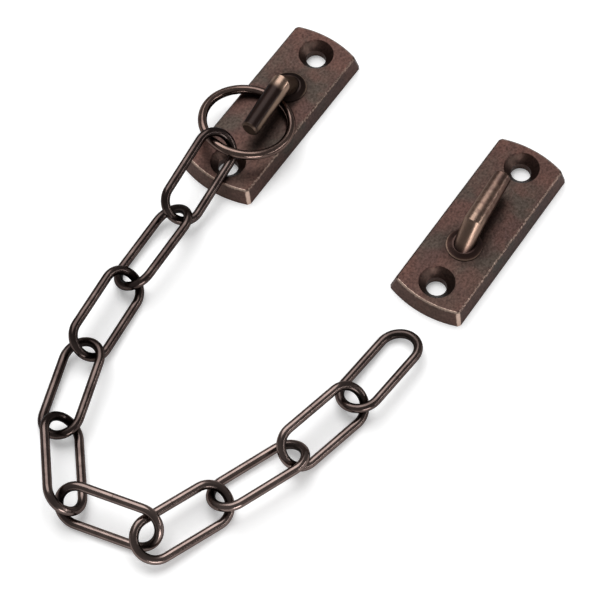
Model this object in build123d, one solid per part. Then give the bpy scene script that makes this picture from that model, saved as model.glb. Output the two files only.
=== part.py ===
from build123d import *
import os
from math import atan, cos, degrees, hypot, radians, sin, sqrt, tan

# Door chain: a chain plate whose hook carries a ring and ten links, and a keeper plate with the same hook.
# The set lies on a table. Origin: middle of the chain plate's back face. +Y runs along both plates, +Z up.
# All sizes are in millimetres and all angles in degrees.

# Plate: a cast bar with rounded ends whose sides slope out towards the back
plate_length = 48.0
plate_width = 18.0
plate_thickness = 3.8
plate_draft = 1.0
plate_end_radius = 24.0
plate_corner_bevel = 0.5
plate_edge_bevel = 0.3
keeper_offset = 54.7

# Wood screw holes, for 4 mm countersunk screws
screw_spacing = 35.0
screw_hole_diameter = 4.5
screw_head_diameter = 8.0

# Hook: round bar with a leaning stem on a flared foot, a crisp elbow and a tapered arm level with the plate,
# which runs a little to one side
hook_diameter = 4.7
hook_tip_diameter = 4.0
hook_lean = 38.0
hook_elbow_y = 3.0
hook_tip_x = 1.0
hook_tip_y = -10.6
hook_arm_height = 4.9
hook_tip_chamfer = 0.4
flare_diameter = 8.0
flare_neck_diameter = 5.4
flare_rim = 0.25
flare_height = 0.9
rivet_diameter = 3.4
rivet_head_diameter = 5.0
rivet_head_depth = 0.8

# Ring: it lies under the hook's arm against the stem, with its near side lifted by the first link
ring_diameter = 19.8
ring_wire = 2.1
ring_seat_y = 1.5
ring_seat_gap = 0.1
ring_lift = 11.0
ring_swing = 8.0

# Link: round wire bent to a long oval and closed with a butt joint in the middle of one leg
link_length = 22.0
link_width = 8.8
link_wire = 2.0
butt_gap = 0.15

# Round wire is drawn with flat sides and short steps round its bends, which keeps the chain light
wire_sides = 14
bend_steps = 8
ring_steps = 36

# How the chain lies. Heading is the link's direction in plan from +X, lean is its roll to one side and
# pitch its rise. Slack and slide place the next link's end: so far back inside this link, and so far left.
first_end = (-2.3, -15.1)
first_height = 7.3
lay = [
    dict(heading=-87, lean=-40, pitch=-11, slack=3.1, slide=0.2),
    dict(heading=-89, lean=31, pitch=-4, slack=2.9, slide=0.0),
    dict(heading=-83, lean=-38, pitch=3, slack=3.3, slide=-0.3),
    dict(heading=-72, lean=20, pitch=-4, slack=3.7, slide=0.2),
    dict(heading=-50, lean=-41, pitch=3, slack=3.0, slide=-1.3),
    dict(heading=13, lean=51, pitch=0, slack=3.0, slide=-4.4),
    dict(heading=69, lean=23, pitch=-4, slack=3.4, slide=0.0),
    dict(heading=68, lean=-27, pitch=0, slack=4.6, slide=-0.4),
    dict(heading=78, lean=36, pitch=-2, slack=3.9, slide=0.0),
    dict(heading=86, lean=-16, pitch=-3, slack=0.0, slide=0.0),
]

# Hook points worked out from its lean: its stem meets the plate's front face at the foot
hook_foot_y = hook_elbow_y + hook_arm_height * tan(radians(hook_lean))
flare_y = hook_foot_y - flare_height / 2 * tan(radians(hook_lean))
ring_seat = Vector(0, ring_seat_y, plate_thickness + ring_wire / 2 + ring_seat_gap)
across = Vector(1, 0, 0)


def make_plate():
    """Cast plate on its back at the origin, with two screw holes and the hook's rivet hole."""
    half_width = plate_width / 2
    end_rise = plate_end_radius - sqrt(plate_end_radius**2 - half_width**2)
    corner_y = plate_length / 2 - end_rise
    with BuildPart() as plate:
        with BuildSketch():
            with BuildLine():
                right = Line((half_width, -corner_y), (half_width, corner_y))
                left = Line((-half_width, corner_y), (-half_width, -corner_y))
                ThreePointArc(right @ 1, (0, plate_length / 2), left @ 0)
                ThreePointArc(left @ 1, (0, -plate_length / 2), right @ 0)
            make_face()
        extrude(amount=plate_thickness, taper=degrees(atan(plate_draft / plate_thickness)))
        sloping_corners = plate.edges().filter_by(lambda e: abs(e.tangent_at(0.5).Z) > 0.5)
        chamfer(sloping_corners, plate_corner_bevel)
        chamfer(plate.faces().sort_by(Axis.Z)[-1].edges(), plate_edge_bevel)
        with Locations((0, screw_spacing / 2, plate_thickness), (0, -screw_spacing / 2, plate_thickness)):
            CounterSinkHole(screw_hole_diameter / 2, screw_head_diameter / 2)
        add(make_rivet(), mode=Mode.SUBTRACT)
    return plate.part


def make_rivet():
    """Shank of the hook that fills the plate's hole and is spread flush at the back."""
    head = Cone(
        rivet_head_diameter / 2,
        rivet_diameter / 2,
        rivet_head_depth,
        align=(Align.CENTER, Align.CENTER, Align.MIN),
    )
    shank = Cylinder(rivet_diameter / 2, plate_thickness, align=(Align.CENTER, Align.CENTER, Align.MIN))
    return Pos(0, flare_y, 0) * (shank + head)


def make_flare():
    """Flared foot of the hook on the plate's front face."""
    on_plate = Pos(0, flare_y, plate_thickness)
    rim = Cylinder(flare_diameter / 2, flare_rim, align=(Align.CENTER, Align.CENTER, Align.MIN))
    cone = Cone(
        flare_diameter / 2,
        flare_neck_diameter / 2,
        flare_height - flare_rim,
        align=(Align.CENTER, Align.CENTER, Align.MIN),
    )
    return on_plate * (rim + Pos(0, 0, flare_rim) * cone)


def make_hook():
    """Hook on its plate: rivet, flared foot, leaning stem and tapered arm, mitred where they meet."""
    elbow = Vector(0, hook_elbow_y, plate_thickness + hook_arm_height)
    foot = Vector(0, hook_foot_y, plate_thickness)
    tip = Vector(hook_tip_x, hook_tip_y, elbow.Z)
    up_stem = (elbow - foot).normalized()
    along_arm = (tip - elbow).normalized()
    arm_length = (tip - elbow).length
    taper = atan((hook_diameter - hook_tip_diameter) / 2 / arm_length)
    overrun = hook_diameter
    stem = Plane(origin=foot - up_stem * overrun, z_dir=up_stem) * Cylinder(
        hook_diameter / 2,
        (elbow - foot).length + 2 * overrun,
        align=(Align.CENTER, Align.CENTER, Align.MIN),
    )
    arm = Plane(origin=elbow - along_arm * overrun, z_dir=along_arm) * Cone(
        hook_diameter / 2 / cos(taper) + overrun * tan(taper),
        hook_diameter / 2 / cos(taper) - arm_length * tan(taper),
        overrun + arm_length,
        align=(Align.CENTER, Align.CENTER, Align.MIN),
    )
    arm = chamfer(arm.faces().sort_by(Axis.Y)[0].edges(), hook_tip_chamfer)
    # Stem and arm touch the same ball at the elbow, so they meet in one flat ellipse just past its middle
    mitre_facing = up_stem + along_arm / cos(taper)
    mitre_shift = hook_diameter / 2 * tan(taper) / mitre_facing.length
    mitre = Plane(origin=elbow + mitre_facing.normalized() * mitre_shift, z_dir=mitre_facing)
    bar = split(stem, bisect_by=mitre, keep=Keep.BOTTOM) + split(arm, bisect_by=mitre, keep=Keep.TOP)
    above_plate = Pos(0, 0, plate_thickness) * Box(
        plate_width,
        plate_length,
        plate_width,
        align=(Align.CENTER, Align.CENTER, Align.MIN),
    )
    return (bar & above_plate) + make_flare() + make_rivet()


def bend_points(centre_x, start, radius):
    """Corner points of a half circle of wire about (centre_x, 0), walked anticlockwise from an angle."""
    angles = [radians(start + 180 * step / bend_steps) for step in range(bend_steps + 1)]
    return [(centre_x + radius * cos(angle), radius * sin(angle)) for angle in angles]


def sweep_wire(points, diameter):
    """Wire of flat sides along straight runs, with true mitres at the corners."""
    path = Polyline(*points)
    section = Plane(origin=path @ 0, z_dir=path % 0) * RegularPolygon(diameter / 2, wire_sides)
    return sweep(section, path=path, transition=Transition.RIGHT)


def make_link():
    """Link in its own frame: length along X, width along Y, butt joint in the middle of the -Y leg."""
    radius = link_width / 2
    bend_x = link_length / 2 - radius
    seam_right = [(butt_gap / 2, -radius)]
    seam_left = [(-butt_gap / 2, -radius)]
    right_bend = bend_points(bend_x, -90, radius)
    left_bend = bend_points(-bend_x, 90, radius)
    return sweep_wire(seam_right + right_bend + left_bend + seam_left, link_wire)


def make_ring():
    """Ring in its own frame, about the origin, with its butt joint on the +Y side."""
    radius = ring_diameter / 2
    seam_angle = degrees(butt_gap / radius)
    step = (360 - seam_angle) / ring_steps
    angles = [radians(90 + seam_angle / 2 + step * n) for n in range(ring_steps + 1)]
    return sweep_wire([(radius * cos(angle), radius * sin(angle)) for angle in angles], ring_wire)


def ring_plane():
    """Where the ring lies: swung to the left about its seat under the arm, near side lifted."""
    radius = ring_diameter / 2
    back = Vector(0, -cos(radians(ring_lift)), sin(radians(ring_lift)))
    centre = ring_seat - across * (radius * sin(radians(ring_swing))) + back * (radius * cos(radians(ring_swing)))
    return Plane(origin=centre, x_dir=across, z_dir=across.cross(back) * -1)


def link_planes():
    """Where each link lies: walks the chain from the ring, each link down on the table by its own lean."""
    radius = link_width / 2
    end_x, end_y = first_end
    planes = []
    for place in lay:
        heading, lean, pitch = (radians(place[key]) for key in ("heading", "lean", "pitch"))
        forward = Vector(cos(heading), sin(heading), 0)
        left = Vector(-sin(heading), cos(heading), 0)
        long_axis = forward * cos(pitch) + Vector(0, 0, sin(pitch))
        wide_axis = left * cos(lean) + long_axis.cross(left) * sin(lean)
        drop = (link_length / 2 - radius) * abs(long_axis.Z) + radius * hypot(long_axis.Z, wide_axis.Z)
        height = link_wire / 2 + drop if planes else first_height
        reach = link_length * cos(pitch)
        centre = Vector(end_x, end_y, height) + forward * (reach / 2)
        planes.append(Plane(origin=centre, x_dir=long_axis, z_dir=long_axis.cross(wide_axis)))
        next_end = Vector(end_x, end_y, 0) + forward * (reach - place["slack"]) + left * place["slide"]
        end_x, end_y = next_end.X, next_end.Y
    return planes


def build():
    """Every piece of the set in its place, by node name."""
    plate = make_plate()
    hook = make_hook()
    link = make_link()
    keeper_place = Pos(keeper_offset, 0, 0) * Rot(0, 0, 180)
    pieces = {
        "chain_plate": plate,
        "chain_hook": hook,
        "ring": ring_plane() * make_ring(),
        "keeper_plate": keeper_place * plate,
        "keeper_hook": keeper_place * hook,
    }
    for number, plane in enumerate(link_planes(), start=1):
        pieces[f"link_{number:02d}"] = plane * link
    return pieces


os.makedirs("parts", exist_ok=True)
for name, piece in build().items():
    export_step(piece, f"parts/{name}.step")
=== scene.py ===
from math import cos, hypot, pi, radians, sin

import bpy
import numpy as np
from mathutils import Matrix, Vector


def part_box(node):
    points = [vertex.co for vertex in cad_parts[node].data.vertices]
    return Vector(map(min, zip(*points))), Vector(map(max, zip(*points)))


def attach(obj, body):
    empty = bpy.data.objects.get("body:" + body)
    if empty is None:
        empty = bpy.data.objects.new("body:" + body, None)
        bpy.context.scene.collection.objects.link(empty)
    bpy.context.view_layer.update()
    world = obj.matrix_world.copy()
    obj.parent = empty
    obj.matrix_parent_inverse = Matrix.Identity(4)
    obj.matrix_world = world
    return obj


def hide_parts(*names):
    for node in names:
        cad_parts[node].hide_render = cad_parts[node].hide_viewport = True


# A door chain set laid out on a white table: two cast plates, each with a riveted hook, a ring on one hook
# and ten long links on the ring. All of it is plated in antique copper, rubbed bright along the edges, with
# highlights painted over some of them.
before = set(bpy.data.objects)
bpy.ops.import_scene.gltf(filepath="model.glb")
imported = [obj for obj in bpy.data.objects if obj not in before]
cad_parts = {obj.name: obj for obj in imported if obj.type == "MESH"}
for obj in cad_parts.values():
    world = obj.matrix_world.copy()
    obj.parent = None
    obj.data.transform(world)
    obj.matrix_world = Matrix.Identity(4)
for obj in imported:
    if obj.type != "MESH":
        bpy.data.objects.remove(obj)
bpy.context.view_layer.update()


# Plates
# Two castings of one pattern, a flat bar with rounded ends, sloping sides and two countersunk screw holes.
# The copper plating is darkened brown, cloudy where the dip was wiped off, and worn through at the rims.
# The rims at the near end and on the right, the near right corner and one wall of each countersink also
# carry painted highlights, and the plate round the hook's foot carries painted shade.
class Field:
    """A number, colour or place that changes over a surface. Sums and products of fields add Math nodes."""

    def __init__(self, socket):
        self.socket = socket

    def node(self, kind, settings, inputs, output=0):
        """Adds a node to this field's material: its settings first, then its sockets' values or fields."""
        tree = self.socket.id_data
        made = tree.nodes.new("ShaderNode" + kind)
        for name, value in settings.items():
            setattr(made, name, value)
        for name, value in inputs.items():
            if isinstance(value, Field):
                tree.links.new(value.socket, made.inputs[name])
            else:
                made.inputs[name].default_value = value
        return Field(made.outputs[output])

    def math(self, operation, first, second=0.0):
        """Adds a Math node for one or two numbers."""
        return self.node("Math", {"operation": operation}, {0: first, 1: second})

    def __add__(self, other):
        return self.math("ADD", self, other)

    def __radd__(self, other):
        return self.math("ADD", other, self)

    def __sub__(self, other):
        return self.math("SUBTRACT", self, other)

    def __rsub__(self, other):
        return self.math("SUBTRACT", other, self)

    def __mul__(self, other):
        return self.math("MULTIPLY", self, other)

    def __rmul__(self, other):
        return self.math("MULTIPLY", other, self)

    def __pow__(self, other):
        return self.math("POWER", self, other)

    def __abs__(self):
        return self.math("ABSOLUTE", self)

    def least(self, other):
        return self.math("MINIMUM", self, other)

    def most(self, other):
        return self.math("MAXIMUM", self, other)

    def rise(self, start, end):
        """0 below start and 1 above end, with a smooth step between; the other way round if end is lower."""
        limits = {"From Min": start, "From Max": end, "Value": self}
        return self.node("MapRange", {"interpolation_type": "SMOOTHSTEP"}, limits)

    def from_to(self, low, high):
        """A number that goes from low to high as this field goes from 0 to 1."""
        return self * (high - low) + low

    def between(self, low, high):
        """Mixes two colours by this field."""
        return self.node("Mix", {"data_type": "RGBA"}, {0: self, 6: low, 7: high}, output=2)

    def part(self, axis):
        """One coordinate of a place."""
        return self.node("SeparateXYZ", {}, {0: self}, output="XYZ".index(axis))

    def moved(self, offset):
        """A place measured from another point."""
        return self.node("VectorMath", {"operation": "SUBTRACT"}, {0: self, 1: offset})

    def times(self, factors):
        """A place stretched along X, Y and Z."""
        return self.node("VectorMath", {"operation": "MULTIPLY"}, {0: self, 1: factors})

    def length(self):
        """How far a place is from its origin."""
        return self.node("VectorMath", {"operation": "LENGTH"}, {0: self}, output="Value")

    def noise(self, scale, detail=3.0, roughness=0.6, distortion=0.0):
        """Cloudy noise over this place from 0 to 1, with so many clouds to the millimetre."""
        inputs = {"Vector": self, "Scale": scale, "Detail": detail, "Roughness": roughness}
        return self.node("TexNoise", {}, {**inputs, "Distortion": distortion})


millimetres_in_metre = 1000
lacquer_roughness = 0.16


def new_finish(name, lacquer, edge_tint):
    """Starts a lacquered metal finish and gives the material and the place on the surface in millimetres.
    Edge tint is how much the metal mirrors where it turns away."""
    material = bpy.data.materials.new(name)
    material.use_nodes = True
    shader = material.node_tree.nodes["Principled BSDF"]
    shader.inputs["Metallic"].default_value = 1.0
    shader.inputs["Coat Weight"].default_value = lacquer
    shader.inputs["Coat Roughness"].default_value = lacquer_roughness
    shader.inputs["Specular Tint"].default_value = (edge_tint, edge_tint, edge_tint, 1)
    place = Field(material.node_tree.nodes.new("ShaderNodeTexCoord").outputs["Object"])
    return material, place.times((millimetres_in_metre, millimetres_in_metre, millimetres_in_metre))


def dress(material, colour, roughness, height, bump):
    """Joins a finish's fields to its shader. Height is in millimetres and bump is how much of it shows."""
    links = material.node_tree.links
    shader = material.node_tree.nodes["Principled BSDF"]
    links.new(colour.socket, shader.inputs["Base Color"])
    links.new(roughness.socket, shader.inputs["Roughness"])
    inputs = {"Height": height, "Strength": bump, "Distance": 1 / millimetres_in_metre}
    relief = height.node("Bump", {}, inputs)
    links.new(relief.socket, shader.inputs["Normal"])
    return material


def worn_and_lit_edge(distance, speckle, start, full, ragged):
    """How far an edge band shows, for plating rubbed off there and for painted highlights: none at the start
    distance, all of it at the full one, and a border between them that is ragged by so many millimetres."""
    return (distance + speckle * ragged).rise(start, full)


def wear(node, material):
    """Gives a CAD node its finish."""
    node.data.materials.clear()
    node.data.materials.append(material)


# Colours of the plating, of its dirt and painted shade, and of the metal under it, also used for painted
# highlights
dark_brown = (0.054, 0.032, 0.028, 1)
red_brown = (0.074, 0.039, 0.032, 1)
grey_green = (0.046, 0.036, 0.030, 1)
grime_and_shade = (0.012, 0.008, 0.007, 1)
bare_copper = (0.68, 0.50, 0.41, 1)

# Sizes of the casting, in millimetres
plate_half_width = 9.0
plate_end_radius = 24.0
plate_thickness = 3.8
plate_draft = 1.0
screw_y = 17.5
screw_head_radius = 4.0
foot_y = 6.48

# How rough the cast skin is, how that changes, and how deep its marks are, in millimetres
cast_roughness = 0.44
rubbed_smoothing = 0.10
grain_roughness = 0.16
speckle_roughness = 0.1
grain_depth = 0.016
speckle_depth = 0.03

# How the marks lie: the grain runs along the plate, the red clouds apart from the others, and the bright
# line a little in from the end, in millimetres
grain_stretch = (1.0, 0.3, 1.0)
red_cloud_shift = (31, 7, 3)
end_line_inset = 0.1

# How strong each tint, layer of dirt, painted shade, trace of wear and painted highlight is
red_cloud_share = 0.6
red_end_share = 0.5
foot_shade_share = 0.5
even_grime_share = 0.12
fleck_grime_share = 1.8
sink_highlight_share = 0.06
fleck_shine = 0.02
end_highlight_share = 0.03
far_end_shine = 0.12
left_side_shine = 0.06
right_side_shine = 0.30
corner_shine = 0.6


def plate_finish(name, centre_x, foot_side):
    """Antique copper on a cast plate whose middle is at centre_x. Foot side is 1 where the hook's foot lies
    at +Y and -1 where it lies at -Y."""
    material, place = new_finish(name, lacquer=0.0, edge_tint=0.8)
    place = place.moved((centre_x, 0, 0))
    x, y, z = (place.part(axis) for axis in "XYZ")
    from_middle = place.times((1, 1, 0)).length()
    slope = z * (plate_draft / plate_thickness)
    to_side = plate_half_width - abs(x) - slope
    to_end = plate_end_radius - from_middle - slope
    to_corner = (to_side ** 2 + to_end ** 2) ** 0.5
    below_top = plate_thickness - z
    to_rim = (to_side.least(to_end) ** 2 + below_top ** 2) ** 0.5
    to_end_line = ((to_end - end_line_inset) ** 2 + below_top ** 2) ** 0.5
    to_screw = (x ** 2 + (abs(y) - screw_y) ** 2) ** 0.5
    to_foot = place.moved((0, foot_y * foot_side, 0)).times((1, 1, 0)).length()
    # The near end, where highlights are painted on the rim, the end band and the right-hand corner
    near_end_highlight = y.rise(0.0, -12.0)

    clouds = place.noise(0.10, roughness=0.5, distortion=0.4).rise(0.40, 0.62)
    red_clouds = place.moved(red_cloud_shift).noise(0.13, roughness=0.55, distortion=0.3)
    red_clouds = red_clouds.rise(0.42, 0.66)
    grain = place.times(grain_stretch).noise(2.6) - 0.5
    speckle = place.noise(1.9) - 0.5

    # Worn rims, with painted highlights added at the near end, along the right-hand rim and at the near
    # right corner
    end_wear_and_highlight = worn_and_lit_edge(to_end_line, speckle, start=0.36, full=0.12, ragged=0.25)
    end_wear_and_highlight = end_wear_and_highlight * near_end_highlight.from_to(far_end_shine, 1.0)
    side_wear_and_highlight = worn_and_lit_edge(to_rim, speckle, start=0.36, full=0.10, ragged=0.5)
    side_wear_and_highlight = side_wear_and_highlight * x.rise(0.0, 6.0).from_to(left_side_shine, right_side_shine)
    corner_wear_and_highlight = worn_and_lit_edge(to_corner, speckle, start=0.70, full=0.35, ragged=0.3)
    corner_wear_and_highlight = corner_wear_and_highlight * near_end_highlight * x.rise(-4.0, 5.0) * corner_shine
    wear_and_highlight = end_wear_and_highlight.most(side_wear_and_highlight).most(corner_wear_and_highlight)
    # A painted highlight on the left-hand wall of each countersink
    lit_sink_wall = to_screw.rise(screw_head_radius, screw_head_radius - 0.6) * x.rise(0.5, -2.5)
    # A painted highlight along the near end
    end_highlight_band = to_end.rise(0.7, 0.1) * near_end_highlight
    red_tint = red_clouds * red_cloud_share + abs(y).rise(9.0, 22.0) * red_end_share
    skin_grime = grain + speckle * fleck_grime_share + even_grime_share
    # Painted shade on the plate round the hook's foot
    foot_shade = to_foot.rise(6.5, 3.6)

    colour = clouds.between(dark_brown, grey_green)
    colour = red_tint.least(1.0).between(colour, red_brown)
    colour = skin_grime.most(0.0).between(colour, grime_and_shade)
    colour = (foot_shade * foot_shade_share).between(colour, grime_and_shade)
    colour = (lit_sink_wall * sink_highlight_share).between(colour, bare_copper)
    colour = (speckle.rise(-0.06, -0.20) * fleck_shine).between(colour, bare_copper)
    colour = (end_highlight_band * end_highlight_share).between(colour, bare_copper)
    colour = wear_and_highlight.between(colour, bare_copper)
    roughness = cast_roughness - wear_and_highlight * rubbed_smoothing
    roughness = roughness + grain * grain_roughness + speckle * speckle_roughness
    height = grain * grain_depth + speckle * speckle_depth
    return dress(material, colour, roughness, height, bump=0.5)


chain_x = 0.0
keeper_low, keeper_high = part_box("keeper_plate")
keeper_x = (keeper_low.x + keeper_high.x) / 2 * millimetres_in_metre
wear(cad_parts["chain_plate"], plate_finish("chain_plate_copper", chain_x, 1))
wear(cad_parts["keeper_plate"], plate_finish("keeper_plate_copper", keeper_x, -1))


# Hooks
# One on each plate: round bar with a flared foot, a stem that leans back and a tapered arm along the plate,
# riveted through the casting and plated with it. Handling rubs the arm, the elbow and the foot's rim.
# Painted highlights lie over that wear on the elbow and stem, the top of the arm, one side of the arm, the
# tip's end face and one side of the foot's rim, and painted shade lies in the corner round the foot.
worn_and_highlit_bronze = (0.70, 0.49, 0.36, 1)

# Sizes of the hook, in millimetres
tip_radius = 2.0
tip_bevel = 0.4
tip_x = 1.0
tip_y = -10.6
elbow_y = 3.0
arm_z = plate_thickness + 4.9
flare_radius = 4.0
flare_top = plate_thickness + 0.9

# How rough the bar is, how that changes, and how deep its marks are, in millimetres
bar_roughness = 0.36
black_dulling = 0.16
bend_smoothing = 0.06
cloud_roughness = 0.05
bar_speckle_roughness = 0.08
bar_speckle_depth = 0.012

# How strong the painted shade in the foot's corner and each trace of wear and painted highlight is
corner_shade_share = 0.6
ring_rub_and_highlight_shine = 0.3
tip_rim_shine = 0.12
tip_face_shine = 0.2
foot_rim_shine = 0.25


def hook_finish(name, centre_x, side, arm_shine, bend_shine, dark):
    """Antique copper on a hook whose plate's middle is at centre_x; side is 1 where the foot lies at +Y.
    Arm and bend shine are how much worn and highlit bronze is mixed in there, for rubbed plating and painted
    highlights, and dark is how far the arm and the foot are darkened."""
    material, place = new_finish(name, lacquer=0.08, edge_tint=0.4)
    place = place.moved((centre_x, 0, 0)).times((side, side, 1))
    x, y, z = (place.part(axis) for axis in "XYZ")
    right_of_arm = x - (elbow_y - y) * (tip_x / (elbow_y - tip_y))
    above_arm = z - arm_z
    from_arm = (right_of_arm ** 2 + above_arm ** 2) ** 0.5
    to_tip_rim = ((y - tip_y) ** 2 + (from_arm - tip_radius + tip_bevel / 2) ** 2) ** 0.5
    to_foot = place.moved((0, foot_y, 0)).times((1, 1, 0)).length()

    clouds = place.noise(0.20, roughness=0.55, distortion=0.3).rise(0.34, 0.68)
    blotches = place.noise(0.8, detail=2.0).rise(0.36, 0.64)
    speckle = place.noise(1.7) - 0.5

    # Lighter bronze on the elbow and stem, the arm's top fading toward the tip, the tip's end face and one
    # side of the foot's rim: wear with painted highlights over it
    bend = y.rise(elbow_y - 2.4, elbow_y - 0.4) * z.rise(flare_top, flare_top + 2.0)
    crown = above_arm.rise(-0.4, 1.9) * y.rise(tip_y, elbow_y).from_to(0.4, 1.0) * blotches.from_to(0.5, 1.3)
    # A bright line painted along one side of the arm as a highlight; on the chain hook the ring also rubs
    # there
    ring_rub_and_highlight = right_of_arm.rise(1.5, 1.9) * above_arm.rise(-0.2, 0.4) * y.rise(tip_y, tip_y + 1.5)
    tip_rim = worn_and_lit_edge(to_tip_rim, speckle, start=0.7, full=0.15, ragged=0.5)
    tip_face = y.rise(tip_y + 0.25, tip_y + 0.05)
    foot_rim = worn_and_lit_edge(to_foot, speckle, start=flare_radius - 0.35, full=flare_radius - 0.05, ragged=0.3)
    foot_rim = foot_rim * z.rise(flare_top - 0.1, flare_top - 0.5) * (y - foot_y).rise(-2.0, 1.5)
    wear_and_highlight = (crown * arm_shine).most(bend * bend_shine).most(ring_rub_and_highlight * ring_rub_and_highlight_shine)
    wear_and_highlight = wear_and_highlight.most(tip_rim * tip_rim_shine).most(tip_face * tip_face_shine)
    wear_and_highlight = wear_and_highlight.most(foot_rim * foot_rim_shine)
    # Painted shade in the corner round the foot of the stem
    in_corner = z.rise(flare_top + 1.6, flare_top - 0.2) * to_foot.rise(flare_radius, flare_radius - 0.8)
    blackened = (1 - bend) * dark

    colour = clouds.between(dark_brown, red_brown)
    colour = (in_corner * corner_shade_share).most(blackened).between(colour, grime_and_shade)
    colour = wear_and_highlight.between(colour, worn_and_highlit_bronze)
    roughness = bar_roughness + blackened * black_dulling - bend * bend_smoothing
    roughness = roughness + (clouds - 0.5) * cloud_roughness + speckle * bar_speckle_roughness
    return dress(material, colour, roughness, speckle * bar_speckle_depth, bump=0.3)


wear(
    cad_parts["chain_hook"],
    hook_finish("chain_hook_copper", chain_x, side=1, arm_shine=0.0, bend_shine=0.25, dark=0.85),
)
wear(
    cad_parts["keeper_hook"],
    hook_finish("keeper_hook_copper", keeper_x, side=-1, arm_shine=0.17, bend_shine=0.18, dark=0.0),
)


# Links
# Ten long ovals of 2 mm steel wire, each bent round a former and left with a butt joint in one leg, then
# plated and darkened after the chain was put together. The finish is glossier than on the castings. The
# hollows of the bends are black, from the dip left where no brush reaches and from painted shade where the
# links lie in each other. The links toward the bottom of the loop are lighter, worn where the chain is
# gripped and with a painted sheen.
link_count = 10
link_dark = (0.038, 0.025, 0.022, 1)
link_worn_and_sheen = (0.190, 0.141, 0.126, 1)

# How rough the wire is, how that changes, and how deep its marks are, in millimetres
wire_roughness = 0.18
hollow_dulling = 0.12
wire_speckle_roughness = 0.08
wire_speckle_depth = 0.006

# Where the loose half of the chain is gripped and its lower links carry a painted sheen: the lightening
# starts at the first figure and is full at the second, in millimetres
grip_and_sheen_x = (4.0, 38.0)
grip_and_sheen_y = (-40.0, -80.0)

# How strong the clouds, and the black and painted shade of the hollows, are
cloud_share = 0.30
hollow_dip_and_shade_share = 0.9


def wire_finish(name, dark, worn_and_sheen):
    """Antique copper on drawn wire: cloudy from the dip, worn and with a painted sheen where gripped, and
    black in the hollows, from the dip and painted shade.
    """
    material, place = new_finish(name, lacquer=0.15, edge_tint=0.25)
    clouds = place.noise(0.18).rise(0.38, 0.66)
    speckle = place.noise(1.3, detail=4.0, roughness=0.65) - 0.5
    grip_wear_and_sheen = place.part("X").rise(*grip_and_sheen_x) * place.part("Y").rise(*grip_and_sheen_y).from_to(0.25, 1.0)
    hollow = place.node("Attribute", {"attribute_name": "hollow"}, {}, output="Fac")
    colour = (clouds * cloud_share + grip_wear_and_sheen * (1 - cloud_share)).between(dark, worn_and_sheen)
    # The hollows of the bends go black: the dip left there, with painted shade where the links lie in each
    # other
    colour = (hollow * hollow_dip_and_shade_share).between(colour, grime_and_shade)
    roughness = wire_roughness + speckle * wire_speckle_roughness + hollow * hollow_dulling
    return dress(material, colour, roughness, speckle * wire_speckle_depth, bump=0.3)


# Sizes of the links, in metres
link_length = 0.022
link_width = 0.0088
link_wire = 0.0020
butt_gap = 0.00002
broken_edge = 0.00003

# How finely the wire is drawn
wire_sides = 32
bend_steps = 28
leg_steps = 6
smooth_angle = radians(30)


def start_wire(name, diameter, place):
    """Adds the wire's round section at a place, facing along X, and opens it in edit mode."""
    bpy.ops.object.select_all(action="DESELECT")
    bpy.ops.mesh.primitive_circle_add(
        vertices=wire_sides, radius=diameter / 2, location=place, rotation=(0, pi / 2, 0)
    )
    wire = bpy.context.object
    wire.name = name
    bpy.ops.object.transform_apply(location=True, rotation=True, scale=True)
    bpy.ops.object.mode_set(mode="EDIT")
    bpy.ops.mesh.select_mode(type="EDGE")
    bpy.ops.mesh.select_all(action="SELECT")
    return wire


def draw_straight(distance, steps):
    """Draws the open end of the wire along X."""
    for step in range(steps):
        bpy.ops.mesh.extrude_region_move(TRANSFORM_OT_translate={"value": (distance / steps, 0, 0)})


def end_wire(diameter):
    """Closes both cut ends, breaks their edges and turns every face outwards."""
    bpy.ops.mesh.select_all(action="SELECT")
    bpy.ops.mesh.remove_doubles(threshold=diameter / 1000)
    bpy.ops.mesh.select_all(action="DESELECT")
    bpy.ops.mesh.select_non_manifold(extend=False)
    bpy.ops.mesh.fill_holes(sides=0)
    bpy.ops.mesh.bevel(offset=broken_edge, segments=1, affect="EDGES")
    bpy.ops.mesh.select_all(action="SELECT")
    bpy.ops.mesh.normals_make_consistent(inside=False)
    bpy.ops.object.mode_set(mode="OBJECT")
    bpy.ops.object.shade_smooth_by_angle(angle=smooth_angle)


def mark_hollows(wire, bend_x, radius):
    """Notes on each point of a link how far it lies in the hollow of a bend, from 0 to 1."""
    hollow = wire.data.attributes.new("hollow", "FLOAT", "POINT")
    for vertex, mark in zip(wire.data.vertices, hollow.data):
        past_leg = abs(vertex.co.x) - bend_x
        inward = radius - hypot(past_leg, vertex.co.y)
        round_bend = min(max(2 * past_leg / radius, 0.0), 1.0)
        mark.value = round_bend * min(max(0.5 + inward / link_wire, 0.0), 1.0)


def bend_link():
    """Models one link about the origin, its length along X and its butt joint in the -Y leg."""
    radius = link_width / 2
    bend_x = link_length / 2 - radius
    wire = start_wire("link_pattern", link_wire, (butt_gap / 2, -radius, 0))
    draw_straight(bend_x - butt_gap / 2, leg_steps)
    bpy.ops.mesh.spin(steps=bend_steps, angle=-pi, center=(bend_x, 0, 0), axis=(0, 0, 1))
    draw_straight(-2 * bend_x, 2 * leg_steps)
    bpy.ops.mesh.spin(steps=bend_steps, angle=-pi, center=(-bend_x, 0, 0), axis=(0, 0, 1))
    draw_straight(bend_x - butt_gap / 2, leg_steps)
    end_wire(link_wire)
    mark_hollows(wire, bend_x, radius)
    return wire


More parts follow.
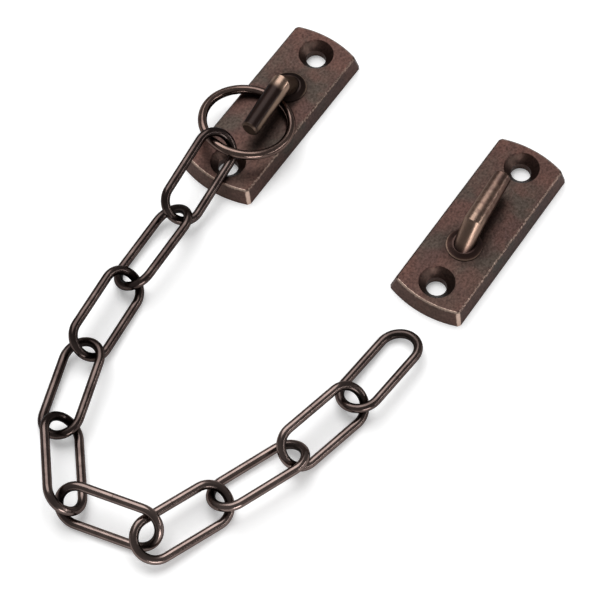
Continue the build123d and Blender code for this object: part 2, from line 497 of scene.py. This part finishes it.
def lie_of(node):
    """Where a bent wire lies: the middle of its solid, and its length, width and thickness as X, Y and Z."""
    points = np.array([vertex.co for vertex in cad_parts[node].data.vertices])
    axes = np.linalg.svd(points - points.mean(0), full_matrices=False)[2]
    axes[2] = np.cross(axes[0], axes[1])
    spread = points @ axes.T
    middle = (spread.max(0) + spread.min(0)) / 2
    turn = Matrix(axes.T.tolist()).to_4x4()
    return Matrix.Translation(Vector(middle @ axes)) @ turn


def lay_wire(pattern, node, material):
    """Lays a copy of a modelled wire where the CAD node lies, and lets it move with that node's body."""
    wire = bpy.data.objects.new(f"{node}_wire", pattern.data.copy())
    bpy.context.scene.collection.objects.link(wire)
    wire.data.transform(lie_of(node))
    wire.data.materials.append(material)
    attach(wire, node)
    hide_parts(node)


link_material = wire_finish("link_copper", link_dark, link_worn_and_sheen)
link_pattern = bend_link()
for link_number in range(1, link_count + 1):
    lay_wire(link_pattern, f"link_{link_number:02d}", link_material)
bpy.data.objects.remove(link_pattern)


# Ring
# One turn of slightly thicker wire, closed with a butt joint where it passes under the hook's arm.
# It carries the first link and lies loose round the stem of the chain plate's hook.
ring_dark = (0.090, 0.059, 0.050, 1)
ring_worn_and_sheen = (0.250, 0.170, 0.140, 1)

# Sizes of the ring, in metres
ring_diameter = 0.01977
ring_wire = 0.00205
ring_steps = 96


def bend_ring():
    """Models the ring about the origin with its butt joint on the -Y side. It has no hollows."""
    gap_angle = butt_gap / (ring_diameter / 2)
    wire = start_wire("ring_pattern", ring_wire, (0, -ring_diameter / 2, 0))
    bpy.ops.mesh.spin(steps=ring_steps, angle=2 * pi - gap_angle, center=(0, 0, 0), axis=(0, 0, 1))
    end_wire(ring_wire)
    wire.data.attributes.new("hollow", "FLOAT", "POINT")
    return wire


ring_material = wire_finish("ring_copper", ring_dark, ring_worn_and_sheen)
ring_pattern = bend_ring()
lay_wire(ring_pattern, "ring", ring_material)
bpy.data.objects.remove(ring_pattern)


# White table
# The set lies on a plain white sheet. What the camera and the metal see of it is lifted to full white,
# and the sheet keeps the soft shadows.
table_size = 6.0
table_drop = 0.00005
paper_white = (0.95, 0.95, 0.95, 1)
paper_roughness = 0.9
camera_lift = 0.22
mirror_lift = 0.16
bpy.ops.object.select_all(action="DESELECT")
bpy.ops.mesh.primitive_plane_add(size=table_size, location=(0, 0, -table_drop))
table = bpy.context.object
table.name = "white_table"
bpy.ops.object.transform_apply(location=True)
paper = bpy.data.materials.new("white_paper")
paper.use_nodes = True
paper_nodes = paper.node_tree.nodes
paper_shader = paper_nodes["Principled BSDF"]
paper_shader.inputs["Base Color"].default_value = paper_white
paper_shader.inputs["Roughness"].default_value = paper_roughness
paper_shader.inputs["Specular IOR Level"].default_value = 0.0
paper_shader.inputs["Emission Color"].default_value = (1, 1, 1, 1)
ray = paper_nodes.new("ShaderNodeLightPath")
mirrored = Field(ray.outputs["Is Glossy Ray"]).most(Field(ray.outputs["Is Transmission Ray"]))
lift = (Field(ray.outputs["Is Camera Ray"]) * camera_lift).most(mirrored * mirror_lift)
paper.node_tree.links.new(lift.socket, paper_shader.inputs["Emission Strength"])
table.data.materials.append(paper)


# Studio light
# A wide soft box overhead lights the set and throws the soft shadows. A long strip low on the right and a
# box low in front draw the thin lines of light along the wire and the edges.
target = Vector((0.0316, -0.0359, 0.0))
lamp_distance = 1.6
room_light = 0.30


def soft_box(name, direction, width, height, power):
    """Hangs a rectangular lamp in a direction from the middle of the set, turned to face it."""
    lamp = bpy.data.lights.new(name, "AREA")
    lamp.shape = "RECTANGLE"
    lamp.size = width
    lamp.size_y = height
    lamp.energy = power
    holder = bpy.data.objects.new(name, lamp)
    bpy.context.scene.collection.objects.link(holder)
    away = Vector(direction).normalized()
    holder.location = target + away * lamp_distance
    holder.rotation_euler = away.to_track_quat("Z", "Y").to_euler()


soft_box("key_box", (-0.42, 0.28, 0.86), width=1.4, height=1.4, power=22.5)
soft_box("right_strip", (0.85, 0.35, 0.36), width=1.4, height=0.10, power=5.5)
soft_box("front_box", (0.78, -0.60, 0.14), width=0.8, height=0.4, power=11.5)

room = bpy.data.worlds.new("studio_room")
room.use_nodes = True
room.node_tree.nodes["Background"].inputs["Color"].default_value = (1, 1, 1, 1)
room.node_tree.nodes["Background"].inputs["Strength"].default_value = room_light
bpy.context.scene.world = room


# Camera
# It looks down on the set from the keeper plate's side, from half a metre away.
camera_azimuth = radians(34.0)
camera_elevation = radians(60.9)
camera_distance = 0.495
camera_lens = 137.6
camera_sensor = 36.0
camera_clip = 0.01
camera = bpy.data.objects.new("camera", bpy.data.cameras.new("camera"))
bpy.context.scene.collection.objects.link(camera)
level = Vector((sin(camera_azimuth), -cos(camera_azimuth), 0)) * cos(camera_elevation)
toward_camera = level + Vector((0, 0, sin(camera_elevation)))
camera.location = target + toward_camera * camera_distance
camera.rotation_euler = toward_camera.to_track_quat("Z", "Y").to_euler()
camera.data.lens = camera_lens
camera.data.sensor_width = camera_sensor
camera.data.clip_start = camera_clip
bpy.context.scene.camera = camera
bpy.context.scene.view_settings.view_transform = "Standard"
